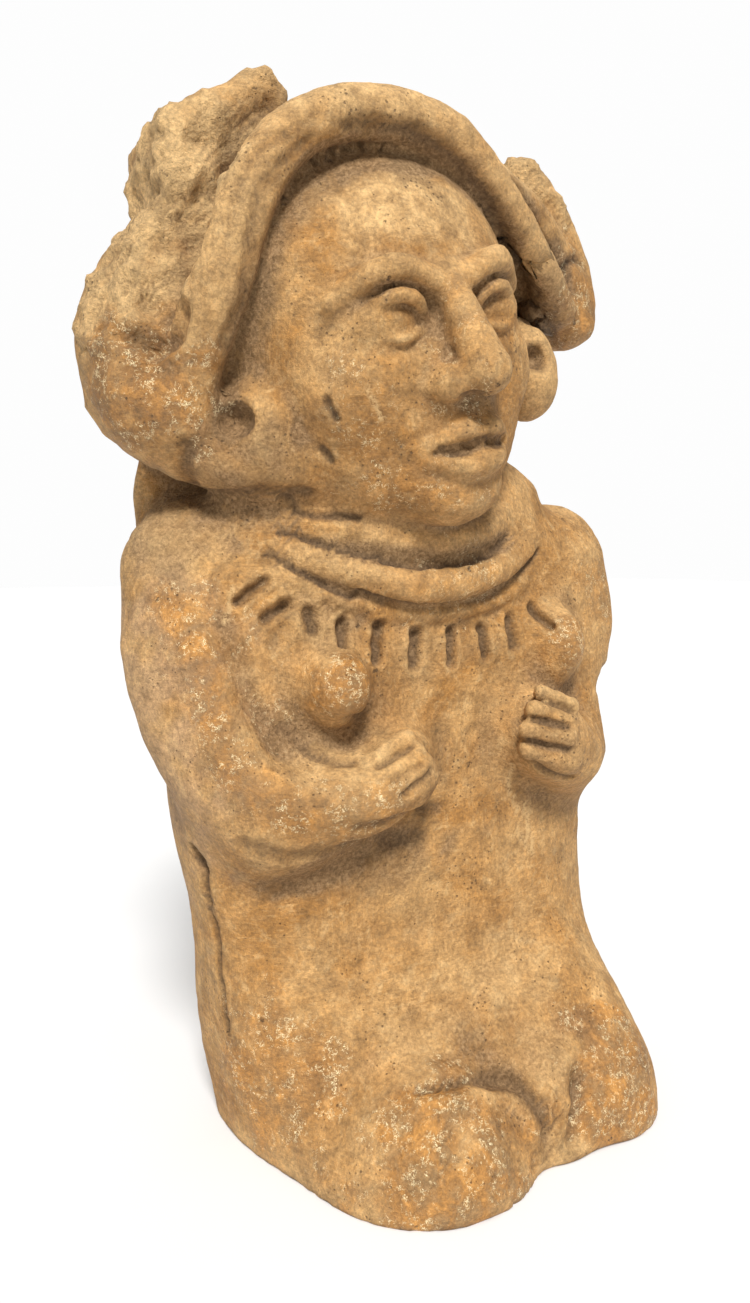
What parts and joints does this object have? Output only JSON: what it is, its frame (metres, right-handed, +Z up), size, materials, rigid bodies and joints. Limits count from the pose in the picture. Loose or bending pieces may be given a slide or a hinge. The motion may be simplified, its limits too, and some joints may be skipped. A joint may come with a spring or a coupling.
{
  "type": "terracotta figurine",
  "caption": "Worn, mould-made terracotta female figurine with tall dressed hair, a rolled collar with a fringe and hands at the breast, broken off at the thighs.",
  "frame": {"origin": "middle of the underside that the figure stands on: the centre of the bounding box, at its bottom", "axes": "+Z up, towards the crown of the head; the figure faces -Y and its own left side is towards +X"},
  "size_m": [0.082, 0.0596, 0.1425],
  "materials": {
    "terracotta": "unglazed fired clay, buff-brown with orange worn spots and grey-brown dirt in the recesses, matt"
  },
  "bodies": {
    "root": {"terracotta_figurine": "terracotta"}
  },
  "joints": []
}
